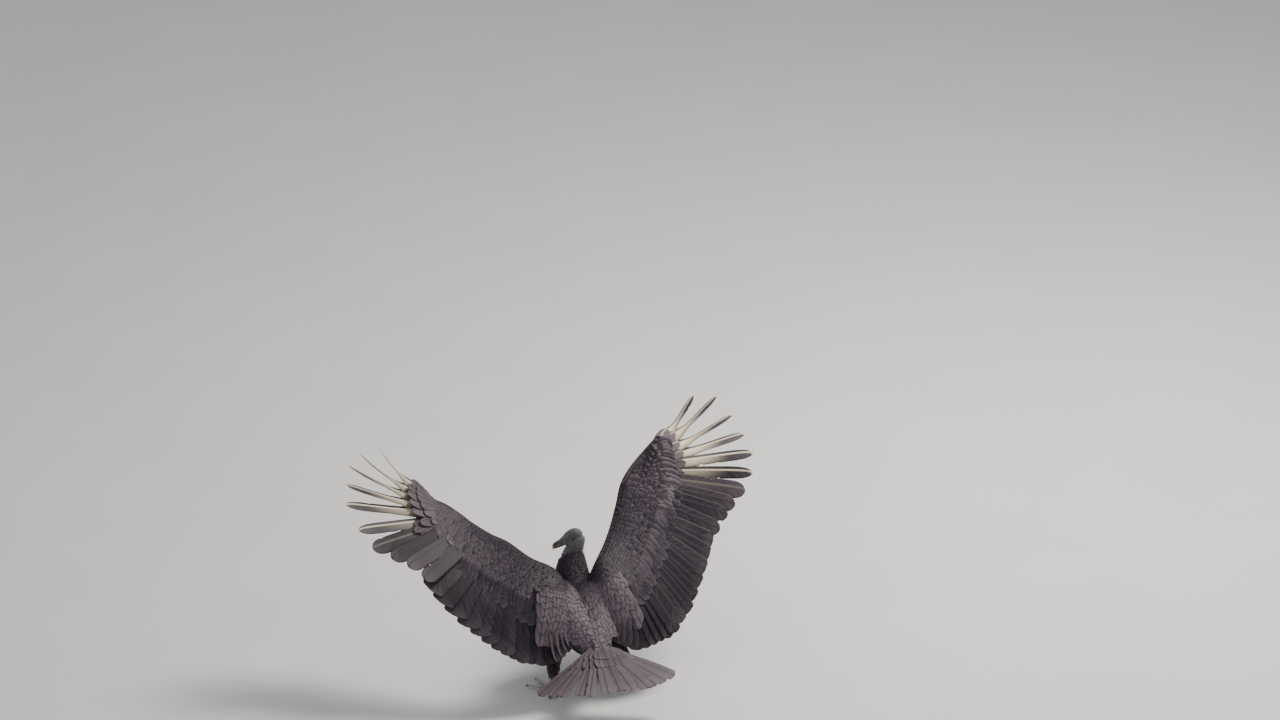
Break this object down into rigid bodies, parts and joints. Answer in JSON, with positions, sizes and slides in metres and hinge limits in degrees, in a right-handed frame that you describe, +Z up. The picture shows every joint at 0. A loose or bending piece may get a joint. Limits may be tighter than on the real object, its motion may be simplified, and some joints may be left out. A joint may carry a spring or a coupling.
{
  "type": "black vulture figure",
  "caption": "Life-size standing black vulture with raised spread wings, fanned tail and head turned left, as a still museum-type model.",
  "frame": {"origin": "middle of the box's base, on the floor the feet stand on", "axes": "+Z up; the bird faces +Y turned 20 degrees to its left (towards -X), with the wings spread along X; +X is the bird's right"},
  "size_m": [1.1274, 0.873, 0.64],
  "materials": {
    "plumage": "matte sooty black body feathers, bleached brown-grey on the back",
    "flight_feather": "satin black flight feathers with ivory shafts on the outer primaries",
    "skin": "wrinkled bare dark grey skin",
    "bill": "horn, dark with a paler tip",
    "eye": "glossy dark brown",
    "leg": "grey scaled skin with a chalky bloom",
    "claw": "dark horn"
  },
  "bodies": {
    "root": {"alula_left": "flight_feather", "alula_right": "flight_feather", "bill_lower": "bill", "bill_upper": "bill", "claw_hind_left": "claw", "claw_hind_right": "claw", "claw_inner_left": "claw", "claw_inner_right": "claw", "claw_middle_left": "claw", "claw_middle_right": "claw", "claw_outer_left": "claw", "claw_outer_right": "claw", "eye_left": "eye", "eye_right": "eye", "foot_left": "leg", "foot_right": "leg", "forearm_left": "plumage", "forearm_right": "plumage", "hand_left": "plumage", "hand_right": "plumage", "head": "skin", "inner_primaries_left": "flight_feather", "inner_primaries_right": "flight_feather", "neck": "plumage", "primary_10_left": "flight_feather", "primary_10_right": "flight_feather", "primary_5_left": "flight_feather", "primary_5_right": "flight_feather", "primary_6_left": "flight_feather", "primary_6_right": "flight_feather", "primary_7_left": "flight_feather", "primary_7_right": "flight_feather", "primary_8_left": "flight_feather", "primary_8_right": "flight_feather", "primary_9_left": "flight_feather", "primary_9_right": "flight_feather", "scapulars_left": "plumage", "scapulars_right": "plumage", "secondaries_left": "flight_feather", "secondaries_right": "flight_feather", "shank_left": "plumage", "shank_right": "plumage", "tail": "flight_feather", "tarsus_left": "leg", "tarsus_right": "leg", "tertials_left": "flight_feather", "tertials_right": "flight_feather", "trunk": "plumage", "upper_arm_left": "plumage", "upper_arm_right": "plumage"}
  },
  "joints": []
}
